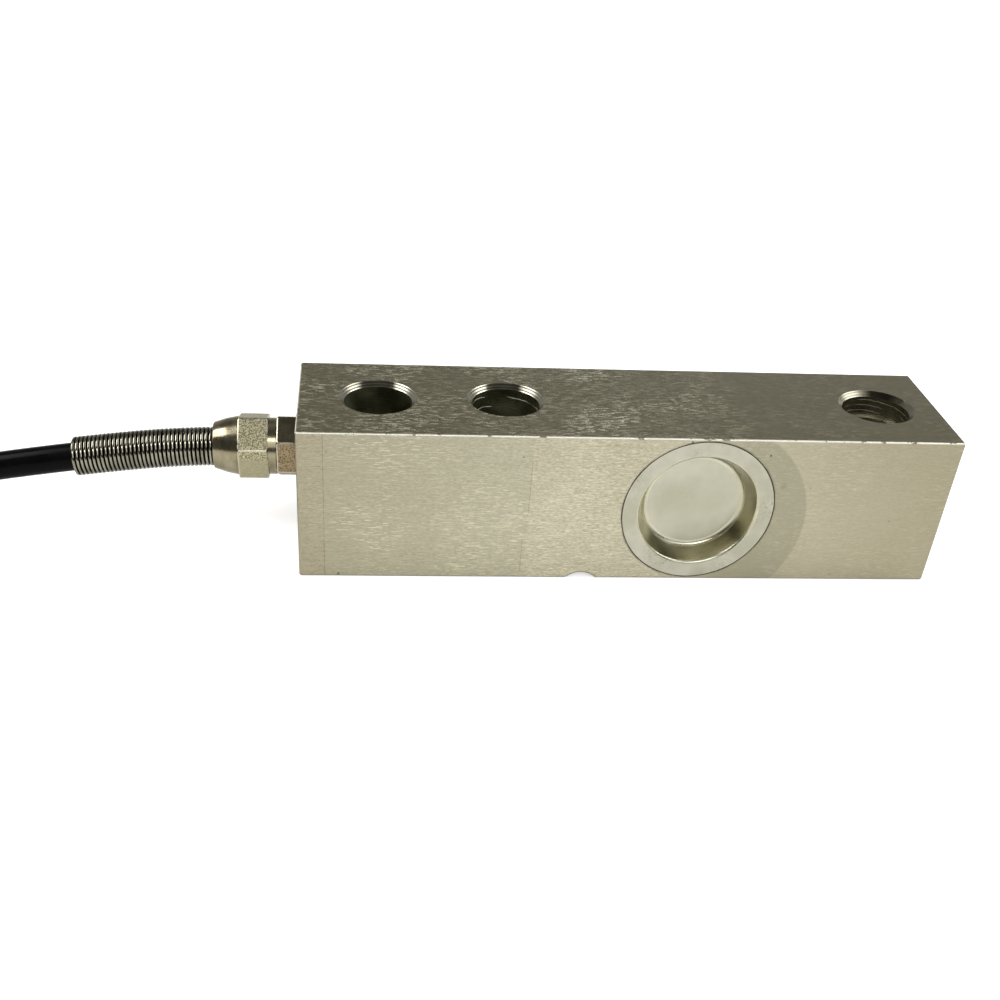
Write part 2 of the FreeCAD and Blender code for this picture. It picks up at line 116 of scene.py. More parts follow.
def selectWhere(piece, domain, test):
    makeActive(piece)
    switchTo("EDIT")
    bpy.ops.mesh.select_mode(type=domain)
    bpy.ops.mesh.select_all(action="DESELECT")
    switchTo("OBJECT")
    for part in piece.data.polygons if domain == "FACE" else piece.data.edges:
        part.select = test(part)
    switchTo("EDIT")


def faceOutward(piece):
    selectAll(piece)
    bpy.ops.mesh.normals_make_consistent(inside=False)
    switchTo("OBJECT")


def smoothCopy(nodeName, pieceName, crease=30.0):
    piece = newObject(pieceName, cadNodes[nodeName].data.copy())
    makeActive(piece)
    bpy.ops.mesh.customdata_custom_splitnormals_clear()
    selectAll(piece)
    bpy.ops.mesh.remove_doubles(threshold=0.002 * mm)
    bpy.ops.mesh.dissolve_limited(angle_limit=math.radians(0.4))
    smooth(piece, crease)
    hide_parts(nodeName)
    return piece


# Camera, at the photograph's place
photoCamera = {
    "place": (-16.42 * mm, -222.93 * mm, 135.96 * mm),
    "azimuth": 6.273,
    "elevation": 37.029,
    "roll": 3.829,
    "lens": 43.83,
    "sensor": 36.0,
    "shift": (0.0344, 0.1597),
    "clipStart": 5 * mm,
}


def addCamera(spec):
    azimuth, elevation, roll = (math.radians(spec[k]) for k in ("azimuth", "elevation", "roll"))
    level = math.cos(elevation)
    forward = Vector((math.sin(azimuth) * level, math.cos(azimuth) * level, -math.sin(elevation)))
    sideways = Vector((math.cos(azimuth), -math.sin(azimuth), 0))
    upright = sideways.cross(forward)
    right = sideways * math.cos(roll) + upright * math.sin(roll)
    up = upright * math.cos(roll) - sideways * math.sin(roll)
    data = bpy.data.cameras.new("photoCamera")
    data.lens = spec["lens"]
    data.sensor_width = spec["sensor"]
    data.shift_x, data.shift_y = spec["shift"]
    data.clip_start = spec["clipStart"]
    camera = newObject("photoCamera", data)
    turned = Matrix((right, up, -forward)).transposed().to_4x4()
    camera.matrix_world = Matrix.Translation(spec["place"]) @ turned
    scene.camera = camera


addCamera(photoCamera)
print("camera placed")


# Node tools
mixKinds = ["FLOAT", "VECTOR", "RGBA"]  # in the order of the Mix node's sockets


def tone(red, green, blue):  # a colour as it shows, from 0 to 255, made linear
    return tuple(((c / 255 + 0.055) / 1.055) ** 2.4 for c in (red, green, blue)) + (1.0,)


def plug(tree, value, socket):
    if isinstance(value, bpy.types.NodeSocket):
        tree.links.new(value, socket)
    else:
        socket.default_value = value


def addNode(tree, kind, **settings):
    node = tree.nodes.new(kind)
    for name, value in settings.items():
        setattr(node, name, value)
    return node


def fill(tree, node, *values):
    for value, socket in zip(values, node.inputs):
        plug(tree, value, socket)
    return node.outputs


def maths(tree, operation, *values):
    return fill(tree, addNode(tree, "ShaderNodeMath", operation=operation), *values)["Value"]


def times(tree, first, second):
    return maths(tree, "MULTIPLY", first, second)


def timesPlus(tree, first, second, added):
    return maths(tree, "MULTIPLY_ADD", first, second, added)


def minus(tree, first, second):
    return maths(tree, "SUBTRACT", first, second)


def most(tree, first, second):
    return maths(tree, "MAXIMUM", first, second)


def over(tree, first, second):
    return maths(tree, "GREATER_THAN", first, second)


def vectorMaths(tree, operation, *values):
    outputs = fill(tree, addNode(tree, "ShaderNodeVectorMath", operation=operation), *values)
    return outputs["Value" if operation == "LENGTH" else "Vector"]


def split(tree, vector):
    return fill(tree, addNode(tree, "ShaderNodeSeparateXYZ"), vector)


def onPiece(tree, what="Object"):
    return addNode(tree, "ShaderNodeTexCoord").outputs[what]


def ease(tree, value, start, end, low=0.0, high=1.0):  # soft step between two values
    node = addNode(tree, "ShaderNodeMapRange", interpolation_type="SMOOTHSTEP")
    return fill(tree, node, value, start, end, low, high)["Result"]


def mix(tree, kind, factor, first, second):
    node = addNode(tree, "ShaderNodeMix", data_type=kind)
    order = mixKinds.index(kind)
    plug(tree, factor, node.inputs[0])
    plug(tree, first, node.inputs[2 * order + 2])
    plug(tree, second, node.inputs[2 * order + 3])
    return node.outputs[order]


def mixColour(tree, factor, first, second):
    return mix(tree, "RGBA", factor, first, second)


def noise(tree, vector, scale, detail=2.0, roughness=0.5):
    node = addNode(tree, "ShaderNodeTexNoise")
    plug(tree, vector, node.inputs["Vector"])
    plug(tree, scale, node.inputs["Scale"])
    node.inputs["Detail"].default_value = detail
    node.inputs["Roughness"].default_value = roughness
    return node.outputs["Fac"]


def bump(tree, shader, height, strength, depth):
    node = addNode(tree, "ShaderNodeBump")
    node.inputs["Strength"].default_value = strength
    node.inputs["Distance"].default_value = depth
    plug(tree, height, node.inputs["Height"])
    plug(tree, node.outputs["Normal"], shader["Normal"])


def newGroup(name, outputs, **inputs):
    tree = bpy.data.node_groups.new(name, "ShaderNodeTree")
    for label, value in inputs.items():
        kind = "Vector" if isinstance(value, tuple) else "Float"
        socket = tree.interface.new_socket(label, in_out="INPUT", socket_type="NodeSocket" + kind)
        socket.default_value = value
    for label in outputs:
        tree.interface.new_socket(label, in_out="OUTPUT", socket_type="NodeSocketFloat")
    given = tree.nodes.new("NodeGroupInput").outputs
    return tree, given, tree.nodes.new("NodeGroupOutput").inputs, onPiece(tree)


def useGroup(tree, group, **values):
    node = addNode(tree, "ShaderNodeGroup", node_tree=group)
    for name, value in values.items():
        plug(tree, value, node.inputs[name])
    return node.outputs


# Shared effects
def brushedGrainGroup():  # fine lines along one direction, with short bright flecks
    tree, given, out, place = newGroup("brushedGrain", ["Grain", "Fleck"],
                                       Stretch=(220, 2600, 2600), FleckFrom=0.6)
    drawn = vectorMaths(tree, "MULTIPLY", place, given["Stretch"])
    plug(tree, noise(tree, drawn, 1.0, 4.0, 0.65), out["Grain"])
    shifted = vectorMaths(tree, "MULTIPLY_ADD", drawn, (0.55, 1.35, 1.2), (7.3, 2.1, 5.7))
    loose = noise(tree, shifted, 1.0, 1.5, 0.5)
    fleckTo = maths(tree, "ADD", given["FleckFrom"], 0.16)
    plug(tree, ease(tree, loose, given["FleckFrom"], fleckTo), out["Fleck"])
    return tree


def slowToneGroup():  # broad cloudy change of tone
    tree, given, out, place = newGroup("slowTone", ["Tone"], Scale=30.0)
    plug(tree, ease(tree, noise(tree, place, given["Scale"], 3.0, 0.55), 0.3, 0.7), out["Tone"])
    return tree


def finePitsGroup():  # small round pits, only in a share of the cells
    tree, given, out, place = newGroup("finePits", ["Pits"], Scale=300.0, Size=0.12, Share=0.15)
    cells = addNode(tree, "ShaderNodeTexVoronoi")
    plug(tree, place, cells.inputs["Vector"])
    plug(tree, given["Scale"], cells.inputs["Scale"])
    chosen = maths(tree, "LESS_THAN", cells.outputs["Color"], given["Share"])
    dot = ease(tree, cells.outputs["Distance"], given["Size"], times(tree, given["Size"], 0.4))
    plug(tree, times(tree, dot, chosen), out["Pits"])
    return tree


def scratchesGroup():  # thin wandering scratches
    tree, given, out, place = newGroup("scratches", ["Lines"], Stretch=(60, 60, 60), Width=0.012)
    drawn = vectorMaths(tree, "MULTIPLY", place, given["Stretch"])
    ridge = maths(tree, "ABSOLUTE", minus(tree, noise(tree, drawn, 1.0, 1.0), 0.5))
    patch = ease(tree, noise(tree, place, 140.0), 0.5, 0.62)
    plug(tree, times(tree, ease(tree, ridge, given["Width"], 0.0), patch), out["Lines"])
    return tree


def toolRingsGroup():  # the rings that a cutter leaves round an upright axis
    tree, given, out, place = newGroup("toolRings", ["Rings", "Marks"],
                                       Pitch=0.4 * mm, Waver=0.1, Lean=0.0)
    at = split(tree, place)
    leaning = maths(tree, "ADD", at["Z"], times(tree, at["X"], given["Lean"]))
    turns = maths(tree, "DIVIDE", leaning, given["Pitch"])
    shaken = times(tree, noise(tree, place, 260.0, 2.0), given["Waver"])
    wave = maths(tree, "SINE", times(tree, maths(tree, "ADD", turns, shaken), 2 * math.pi))
    plug(tree, timesPlus(tree, wave, 0.5, 0.5), out["Rings"])
    broken = ease(tree, noise(tree, place, 120.0, 2.0), 0.38, 0.55)
    plug(tree, times(tree, ease(tree, wave, 0.94, 1.0), broken), out["Marks"])
    return tree


def roundZoneGroup():  # a soft-edged disc seen along Y
    tree, given, out, place = newGroup("roundZone", ["Inside"],
                                       Centre=(0, 0, 0), Radius=1.0, Soft=0.1)
    away = vectorMaths(tree, "SUBTRACT", place, given["Centre"])
    reach = vectorMaths(tree, "LENGTH", vectorMaths(tree, "MULTIPLY", away, (1, 0, 1)))
    uneven = times(tree, minus(tree, noise(tree, place, 160.0), 0.5), given["Soft"])
    edge = maths(tree, "ADD", given["Radius"], uneven)
    plug(tree, ease(tree, reach, maths(tree, "ADD", edge, given["Soft"]), edge), out["Inside"])
    return tree


def boxZoneGroup():  # inside a box, with slightly ragged edges
    tree, given, out, place = newGroup("boxZone", ["Inside"],
                                       Centre=(0, 0, 0), Half=(1, 1, 1), Ragged=0.0)
    ragged = times(tree, minus(tree, noise(tree, place, 900.0), 0.5), given["Ragged"])
    away = vectorMaths(tree, "ABSOLUTE", vectorMaths(tree, "SUBTRACT", place, given["Centre"]))
    spare = split(tree, vectorMaths(tree, "SUBTRACT", given["Half"], away))
    least = maths(tree, "MINIMUM", spare["X"], maths(tree, "MINIMUM", spare["Y"], spare["Z"]))
    plug(tree, over(tree, maths(tree, "ADD", least, ragged), 0.0), out["Inside"])
    return tree


brushedGrain = brushedGrainGroup()
slowTone = slowToneGroup()
finePits = finePitsGroup()
scratches = scratchesGroup()
toolRings = toolRingsGroup()
roundZone = roundZoneGroup()
boxZone = boxZoneGroup()
print("shared effects built")


def newMaterial(name, rough, metallic=1.0):
    material = bpy.data.materials.new(name)
    material.use_nodes = True
    tree = material.node_tree
    shader = tree.nodes["Principled BSDF"].inputs
    shader["Metallic"].default_value = metallic
    shader["Roughness"].default_value = rough
    return material, tree, shader


def cloudOver(tree, scale):
    return useGroup(tree, slowTone, Scale=scale)["Tone"]


def insideRound(tree, centre, radius, soft):
    return useGroup(tree, roundZone, Centre=centre, Radius=radius, Soft=soft)["Inside"]


# Finishes of the beam
groundLook = {
    "tones": (tone(168, 161, 137), tone(210, 205, 182)),
    "fleck": tone(250, 241, 212),
    # darker, browner tone for the ends of the beam: a painted fall-off of the light from x = 30 mm
    "falloffShade": tone(150, 141, 114),
    "panel": tone(172, 170, 147),
    "topShade": tone(150, 145, 112),
    "stain": tone(154, 151, 128),
    "grimeAndShade": tone(66, 60, 46),
    "grainStretch": (1180, 1700, 5000),
    "topStretch": (1100, 2600, 1150),
    "longStretch": (340, 1100, 3600),
    "endStretch": (3000, 420, 3000),
    "fleckFrom": 0.53,
    "longShare": 0.3,
    "grainRange": (0.36, 0.64),
    "topContrast": 2.0,
    "topFlecks": 1.9,
    "cloud": 34.0,
    "rough": 0.24,
    "relief": (0.5, 0.1 * mm),
    "skin": 0.1 * mm,
    "calm": (64 * mm, 34 * mm),
    "paintedLightAt": 30 * mm,
    "falloffShadeFrom": (10 * mm, 75 * mm, 0.0, 0.6),
    "topShadeShare": (-24 * mm, 100 * mm, 0.8, 0.28),
    "rubbedFrom": (-24.5 * mm, -20 * mm, 0.3, 1.0),
    "panelCentre": (-3.25 * mm, beamLow.y, 15.9 * mm),
    "panelHalf": (20.05 * mm, 0.8 * mm, 15.9 * mm),
    "panelShare": 0.4,
    "scribed": [(-23.3, 15.9, 0.09, 15.7), (16.8, 20.5, 0.09, 6.0), (16.1, 5.5, 0.08, 4.0)],
    "scribedShare": 0.26,
    "stainPlace": ((51.4 * mm, 0, 13.4 * mm), 21.3 * mm, 0.5 * mm),
    "stainFrom": (50 * mm, 60 * mm),
    "stainShare": 0.6,
    "seatRim": (tuple(cupCentre), 15.48 * mm, 0.25 * mm),
    "groove": ((28.8 * mm, 0, -3.0 * mm), 4.6 * mm, 0.08 * mm),
    "footShadowBand": (0.5 * mm, 0.1 * mm),
    "endEdgeShade": (beamHigh.x - 0.45 * mm, beamHigh.x - 0.25 * mm),
    "paintedShadeShare": 0.6,
    "pits": {"Scale": 230.0, "Size": 0.03, "Share": 0.14},
    "pitShare": 0.85,
    "marks": [(63.1, 28.5, 0.1, 1.0), (67.1, 21.9, 0.55, 0.16), (81.2, 1.3, 0.12, 0.5),
              (14.9, 27.4, 0.08, 0.7), (-20.6, 0.7, 0.18, 0.8), (72.6, 21.5, 0.08, 0.6),
              (90.6, 14.2, 0.1, 0.5), (-22.6, 27.8, 0.16, 0.4), (47.2, 31.1, 0.2, 0.8)],
    "markSoft": 0.12 * mm,
}


def groundSteel(look):
    material, tree, shader = newMaterial("groundSteel", look["rough"])
    place = onPiece(tree)
    at = split(tree, place)
    skin = look["skin"]
    atCableEnd = maths(tree, "LESS_THAN", at["X"], beamLow.x + skin)
    atEnd = most(tree, atCableEnd, over(tree, at["X"], beamHigh.x - skin))
    onTop = over(tree, at["Z"], beamHigh.z - skin)
    onFront = maths(tree, "LESS_THAN", at["Y"], beamLow.y + skin)
    onSide = over(tree, maths(tree, "ABSOLUTE", at["Y"]), beamHigh.y - skin)
    # grinding lines: lively at the cable end, calmer at the load end
    stretch = mix(tree, "VECTOR", onTop, look["grainStretch"], look["topStretch"])
    along = useGroup(tree, brushedGrain, Stretch=stretch, FleckFrom=look["fleckFrom"])
    across = useGroup(tree, brushedGrain, Stretch=look["endStretch"])["Grain"]
    longGrain = useGroup(tree, brushedGrain, Stretch=look["longStretch"])["Grain"]
    drawn = times(tree, along["Grain"], 1.0 - look["longShare"])
    drawn = timesPlus(tree, longGrain, look["longShare"], drawn)
    lively = ease(tree, at["X"], *look["calm"], timesPlus(tree, onTop, -0.2, 0.4), 1.0)
    contrast = times(tree, lively, timesPlus(tree, onTop, look["topContrast"], 1.0))
    grain = minus(tree, mix(tree, "FLOAT", atEnd, drawn, across), 0.5)
    grain = timesPlus(tree, grain, contrast, 0.5)
    cloud = timesPlus(tree, cloudOver(tree, look["cloud"]), 0.24, -0.12)
    shade = maths(tree, "ADD", ease(tree, grain, *look["grainRange"]), cloud)
    colour = mixColour(tree, shade, *look["tones"])
    # painted light: brightest at x = 30 mm, turning darker and browner towards both ends
    away = maths(tree, "ABSOLUTE", minus(tree, at["X"], look["paintedLightAt"]))
    colour = mixColour(tree, ease(tree, away, *look["falloffShadeFrom"]), colour, look["falloffShade"])
    # painted shade: the top face is mixed toward a darker tone, most at the cable end
    topShaded = times(tree, onTop, ease(tree, at["X"], *look["topShadeShare"]))
    colour = mixColour(tree, topShaded, colour, look["topShade"])
    # bare panel by the fixing holes, a little greyer, with scribed lines at its ends
    panel = useGroup(tree, boxZone, Centre=look["panelCentre"], Half=look["panelHalf"])["Inside"]
    colour = mixColour(tree, times(tree, panel, look["panelShare"]), colour, look["panel"])
    for x, z, halfX, halfZ in look["scribed"]:
        line = useGroup(tree, boxZone, Centre=(x * mm, beamLow.y, z * mm),
                        Half=(halfX * mm, skin, halfZ * mm), Ragged=0.2 * mm)["Inside"]
        colour = mixColour(tree, times(tree, line, look["scribedShare"]), colour, look["grimeAndShade"])
    # dull ring that heat left round the cup, seen on its load side
    stain = times(tree, insideRound(tree, *look["stainPlace"]), ease(tree, at["X"], *look["stainFrom"]))
    stain = times(tree, stain, onSide)
    colour = mixColour(tree, times(tree, stain, look["stainShare"]), colour, look["stain"])
    # bright flecks in patches, fewer where the cable end is rubbed
    patch = timesPlus(tree, ease(tree, noise(tree, place, 60.0), 0.4, 0.6), 0.3, 0.16)
    patch = times(tree, patch, most(tree, ease(tree, at["X"], *look["rubbedFrom"]), onTop))
    patch = times(tree, patch, times(tree, lively, timesPlus(tree, onTop, look["topFlecks"], 1.0)))
    flecks = times(tree, along["Fleck"], patch)
    colour = mixColour(tree, flecks, colour, look["fleck"])
    # dirt round the cup; painted shade in the groove, along the foot and along the top edge of the load
    # end
    rim = times(tree, insideRound(tree, *look["seatRim"]), onSide)
    rim = times(tree, rim, ease(tree, noise(tree, place, 420.0), 0.35, 0.6, 0.15, 0.5))
    colour = mixColour(tree, rim, colour, look["grimeAndShade"])
    paintedShade = most(tree, insideRound(tree, *look["groove"]), ease(tree, at["Z"], *look["footShadowBand"]))
    endEdgeShade = times(tree, onTop, ease(tree, at["X"], *look["endEdgeShade"]))
    paintedShade = most(tree, times(tree, paintedShade, onSide), endEdgeShade)
    colour = mixColour(tree, times(tree, paintedShade, look["paintedShadeShare"]), colour, look["grimeAndShade"])
    pits = useGroup(tree, finePits, **look["pits"])["Pits"]
    for x, z, radius, depth in look["marks"]:
        mark = insideRound(tree, (x * mm, 0, z * mm), radius * mm, look["markSoft"])
        pits = most(tree, pits, times(tree, times(tree, mark, onFront), depth))
    colour = mixColour(tree, times(tree, pits, look["pitShare"]), colour, look["grimeAndShade"])
    plug(tree, colour, shader["Base Color"])
    rough = timesPlus(tree, stain, 0.06, timesPlus(tree, grain, 0.14, look["rough"]))
    plug(tree, timesPlus(tree, flecks, -0.1, rough), shader["Roughness"])
    height = timesPlus(tree, onTop, times(tree, flecks, 1.5), grain)
    bump(tree, shader, minus(tree, height, pits), *look["relief"])
    return material


# near-white broken edges with dark nicks: the white is a painted highlight along the edges
edgeLook = {"glintTone": tone(248, 244, 228), "nick": tone(92, 85, 66), "nickScale": 620.0, "rough": 0.25}


def edgeSteel(look):
    material, tree, shader = newMaterial("edgeSteel", look["rough"])
    place = onPiece(tree)
    nicks = ease(tree, noise(tree, place, look["nickScale"], 3.0), 0.57, 0.66, 0.0, 0.8)
    plug(tree, mixColour(tree, nicks, look["glintTone"], look["nick"]), shader["Base Color"])
    plug(tree, timesPlus(tree, noise(tree, place, 300.0), 0.3, look["rough"]), shader["Roughness"])
    bump(tree, shader, minus(tree, noise(tree, place, 900.0), nicks), 0.4, 0.05 * mm)
    return material


boredLook = {
    "tones": (tone(103, 104, 80), tone(174, 174, 144)),
    "line": tone(226, 223, 208),
    "rings": {"Pitch": 2.3 * mm, "Waver": 0.4, "Lean": 0.05},
    "fine": {"Pitch": 0.35 * mm, "Waver": 0.6, "Lean": 0.02},
    "cloud": 140.0,
    "rough": 0.3,
    "ringGlintsFrom": (-4 * mm, 4 * mm, 0.08, 1.0),
    "relief": (0.5, 0.12 * mm),
}
recessLook = dict(boredLook, tones=(tone(82, 78, 62), tone(146, 140, 120)), line=tone(176, 172, 154),
                  rings=dict(boredLook["rings"], Pitch=1.15 * mm))


def boredSteel(name, look):
    material, tree, shader = newMaterial(name, look["rough"])
    rings = useGroup(tree, toolRings, **look["rings"])["Marks"]
    fine = useGroup(tree, toolRings, **look["fine"])["Rings"]
    cloud = cloudOver(tree, look["cloud"])
    colour = mixColour(tree, timesPlus(tree, fine, 0.4, times(tree, cloud, 0.4)), *look["tones"])
    # the bright ring lines, from x = -4 mm on, are painted highlights on the tool rings, standing in for
    # lit thread crests
    marks = times(tree, rings, ease(tree, split(tree, onPiece(tree))["X"], *look["ringGlintsFrom"]))
    plug(tree, mixColour(tree, marks, colour, look["line"]), shader["Base Color"])
    rough = timesPlus(tree, cloud, 0.2, look["rough"])
    plug(tree, timesPlus(tree, marks, 0.3, rough), shader["Roughness"])
    bump(tree, shader, timesPlus(tree, fine, 0.2, marks), *look["relief"])
    return material


chamferLook = {
    "tones": (tone(74, 71, 58), tone(204, 200, 182)),
    "chamferShade": tone(34, 32, 24),
    "chamferShadeShare": 0.0,
    "chamferShadeFrom": (loadHoleX - 1.0 * mm, loadHoleX + 1.6 * mm),
    "chamferShadeTo": (loadHoleX + 7.8 * mm, loadHoleX + 6.6 * mm),
    "chamferShadeBack": (0.5 * mm, 3.5 * mm),
    "rear": (3.9 * mm, 3.0 * mm, 0.0, 0.85),
    "pitch": 0.4226 * mm,
    "rings": 1.0,
    "ringsFrom": (1.0 * mm, 4.5 * mm),
    "ringsMiddle": 0.6,
    "rough": 0.36,
}
loadChamferLook = dict(chamferLook, tones=(tone(110, 106, 90), tone(172, 168, 151)), rings=0.6,
                       chamferShadeShare=0.97)


def chamferSteel(name, look):
    material, tree, shader = newMaterial(name, look["rough"])
    rings = useGroup(tree, toolRings, Pitch=look["pitch"], Waver=0.15)["Rings"]
    at = split(tree, onPiece(tree))
    # painted shade: the chamfers are darkened on their rear side, away from the cable
    outward = ease(tree, at["X"], *look["chamferShadeFrom"], 0.0, look["chamferShadeShare"])
    outward = times(tree, outward, ease(tree, at["X"], *look["chamferShadeTo"]))
    outward = times(tree, outward, ease(tree, at["Y"], *look["chamferShadeBack"]))
    beside = minus(tree, maths(tree, "ABSOLUTE", at["X"]), fixingGap / 2)
    rear = ease(tree, maths(tree, "ABSOLUTE", beside), *look["rear"])
    outward = most(tree, outward, times(tree, rear, over(tree, at["Y"], 0.0)))
    cut = ease(tree, at["Y"], *look["ringsFrom"], 0.1, look["rings"])
    shade = timesPlus(tree, minus(tree, rings, look["ringsMiddle"]), cut, look["ringsMiddle"])
    colour = mixColour(tree, shade, *look["tones"])
    plug(tree, mixColour(tree, outward, colour, look["chamferShade"]), shader["Base Color"])
    plug(tree, timesPlus(tree, shade, -0.08, look["rough"]), shader["Roughness"])
    bump(tree, shader, rings, 0.12 * look["rings"], 0.02 * mm)
    return material


# Finishes in two tones with a cloudy mix, plain or worn
def cloudyCoat(name, look, metallic=1.0):
    material, tree, shader = newMaterial(name, look["rough"], metallic)
    cloud = cloudOver(tree, look["cloud"])
    plug(tree, timesPlus(tree, cloud, look["spread"], look["rough"]), shader["Roughness"])
    return material, tree, shader, cloud, mixColour(tree, cloud, *look["tones"])


def coat(name, look, metallic=1.0):
    material, tree, shader, height, colour = cloudyCoat(name, look, metallic)
    if "worn" in look:
        lines = useGroup(tree, scratches, **look["lines"])["Lines"]
        pits = useGroup(tree, finePits, **look["pits"])["Pits"]
        worn = most(tree, times(tree, lines, look["lineShare"]), times(tree, pits, look["pitShare"]))
        if "rim" in look:  # dirty along the outer edge
            clean = insideRound(tree, *look["rim"])
            worn = most(tree, worn, timesPlus(tree, clean, -look["rimShare"], look["rimShare"]))
        colour = mixColour(tree, worn, colour, look["worn"])
        height = minus(tree, height, worn)
    plug(tree, colour, shader["Base Color"])
    if "relief" in look:
        bump(tree, shader, height, *look["relief"])
    return material


# Finishes of the cups
cupFlangeLook = {
    "tones": (tone(186, 184, 164), tone(210, 208, 191)),
    "worn": tone(104, 101, 86),
    "cloud": 160.0,
    "rough": 0.38,
    "spread": 0.12,
    "lines": {"Stretch": (900, 900, 900), "Width": 0.03},
    "lineShare": 0.45,
    "pits": {"Scale": 1100.0, "Size": 0.24, "Share": 0.2},
    "pitShare": 0.6,
    "rim": (tuple(cupCentre), 15.1 * mm, 0.2 * mm),
    "rimShare": 0.4,
    "relief": (0.25, 0.02 * mm),
}
cupLipLook = {"tones": (tone(190, 186, 162), tone(222, 219, 198)), "cloud": 90.0, "rough": 0.24,
              "spread": 0.06}
cupWallLook = dict(cupLipLook, tones=(tone(156, 152, 126), tone(200, 196, 172)), rough=0.14)
cupDiscLook = {
    "tones": (tone(184, 181, 161), tone(210, 207, 190)),
    "worn": tone(150, 145, 128),
    "cloud": 75.0,
    "rough": 0.27,
    "spread": 0.08,
    "lines": {"Stretch": (120, 120, 260), "Width": 0.006},
    "lineShare": 0.3,
    "pits": {"Scale": 420.0, "Size": 0.06, "Share": 0.06},
    "pitShare": 0.7,
}

# Finishes of the gland, the spring and the cable
nickelLook = {
    "tones": (tone(138, 129, 103), tone(178, 169, 142)),
    "worn": tone(106, 99, 76),
    "cloud": 220.0,
    "rough": 0.15,
    "spread": 0.08,
    "lines": {"Stretch": (900, 300, 300), "Width": 0.02},
    "lineShare": 0.3,
    "pits": {"Scale": 2600.0, "Size": 0.42, "Share": 0.5},
    "pitShare": 0.15,
    "relief": (0.15, 0.03 * mm),
}
# lighter tone for the borders of the gland's flats: a painted edge highlight
shineLook = {"tones": (tone(196, 190, 166), tone(222, 217, 196)), "cloud": 900.0, "rough": 0.24,
             "spread": 0.1}
flatsLook = {
    "tones": (tone(122, 119, 91), tone(222, 214, 179)),
    "grainScale": 4300.0,
    "grainDepth": 0.012 * mm,
    "rough": 0.33,
    "calm": (15.5 * mm, 16.1 * mm, 0.25, 1.0),
}
baseFlatsLook = dict(flatsLook, tones=(tone(118, 103, 77), tone(180, 161, 129)),
                     calm=(0.0, 1.0 * mm, 0.25, 1.0))


def nickelFlats(name, look):  # cast grain under the plating, which glitters
    material, tree, shader = newMaterial(name, look["rough"])
    place = onPiece(tree)
    grain = noise(tree, place, look["grainScale"], 0.0)
    coarse = ease(tree, split(tree, place)["Z"], *look["calm"])  # the lower flats are rubbed smoother
    shade = timesPlus(tree, minus(tree, ease(tree, grain, 0.3, 0.7), 0.5), coarse, 0.5)
    plug(tree, mixColour(tree, shade, *look["tones"]), shader["Base Color"])
    plug(tree, timesPlus(tree, grain, 0.1, look["rough"]), shader["Roughness"])
    bump(tree, shader, times(tree, grain, coarse), 1.0, look["grainDepth"])
    return material


springLook = {
    "tones": (tone(137, 134, 117), tone(177, 174, 157)),
    "groove": tone(30, 28, 22),
    "grooveFrom": (0.4, 0.68),
    "cloud": 300.0,
    "rough": 0.06,
    "spread": 0.05,
}


def springWire(look):
    material, tree, shader, _, colour = cloudyCoat("springWire", look)
    facing = maths(tree, "ABSOLUTE", split(tree, onPiece(tree, "Normal"))["X"])
    groove = ease(tree, facing, *look["grooveFrom"])  # painted shade between the turns
    plug(tree, mixColour(tree, groove, colour, look["groove"]), shader["Base Color"])
    return material


jacketLook = {
    "tones": (tone(6, 6, 6), tone(11, 11, 11)),
    "specular": 0.06,
    "cloud": 120.0,
    "rough": 0.2,
    "spread": 0.1,
    "pits": {"Scale": 1400.0, "Size": 0.35, "Share": 0.4},
}


def cableJacket(look):
    material, tree, shader, cloud, colour = cloudyCoat("cableJacket", look, metallic=0.0)
    shader["Specular IOR Level"].default_value = look["specular"]
    plug(tree, colour, shader["Base Color"])
    pits = useGroup(tree, finePits, **look["pits"])["Pits"]
    bump(tree, shader, minus(tree, cloud, pits), 0.1, 0.05 * mm)
    return material


plainLooks = {  # dark and light tone, metallic, least roughness, scale of the cloudy mix
    # painted contact shadow on the lowest faces of the beam
    "footGrime": ((76, 73, 58), (104, 100, 84), 0.0, 0.54, 300),
    "seatGrime": ((46, 43, 33), (142, 136, 115), 0.0, 0.64, 190),
    "sealRubber": ((22, 22, 22), (36, 36, 35), 0.0, 0.54, 400),
    "silicone": ((206, 205, 196), (226, 226, 219), 0.0, 0.39, 250),
    "gaugeFoil": ((188, 132, 54), (214, 160, 82), 0.3, 0.24, 900),
    "lacqueredCopper": ((176, 98, 58), (206, 126, 78), 1.0, 0.24, 900),
    "circuitBoard": ((28, 92, 48), (44, 112, 60), 0.0, 0.34, 600),
    "resistorBody": ((30, 30, 32), (52, 52, 54), 0.0, 0.44, 900),
    "potting": ((48, 44, 40), (66, 60, 54), 0.0, 0.29, 300),
    "tieNylon": ((26, 26, 27), (38, 38, 39), 0.0, 0.34, 350),
    "shrinkSleeve": ((24, 24, 25), (34, 34, 35), 0.0, 0.44, 350),
    "redInsulation": ((176, 28, 24), (200, 42, 34), 0.0, 0.29, 350),
    "blackInsulation": ((24, 24, 24), (38, 38, 38), 0.0, 0.29, 350),
    "greenInsulation": ((28, 122, 52), (44, 146, 66), 0.0, 0.29, 350),
    "whiteInsulation": ((214, 212, 204), (232, 231, 225), 0.0, 0.29, 350),
    "tinnedBraid": ((168, 164, 154), (210, 207, 198), 1.0, 0.29, 1500),
}


def plainFinish(name, dark, glintTone, metallic, rough, scale):
    look = {"tones": (tone(*dark), tone(*glintTone)), "cloud": scale, "rough": rough, "spread": 0.12,
            "relief": (0.12, 0.02 * mm)}
    return coat(name, look, metallic)


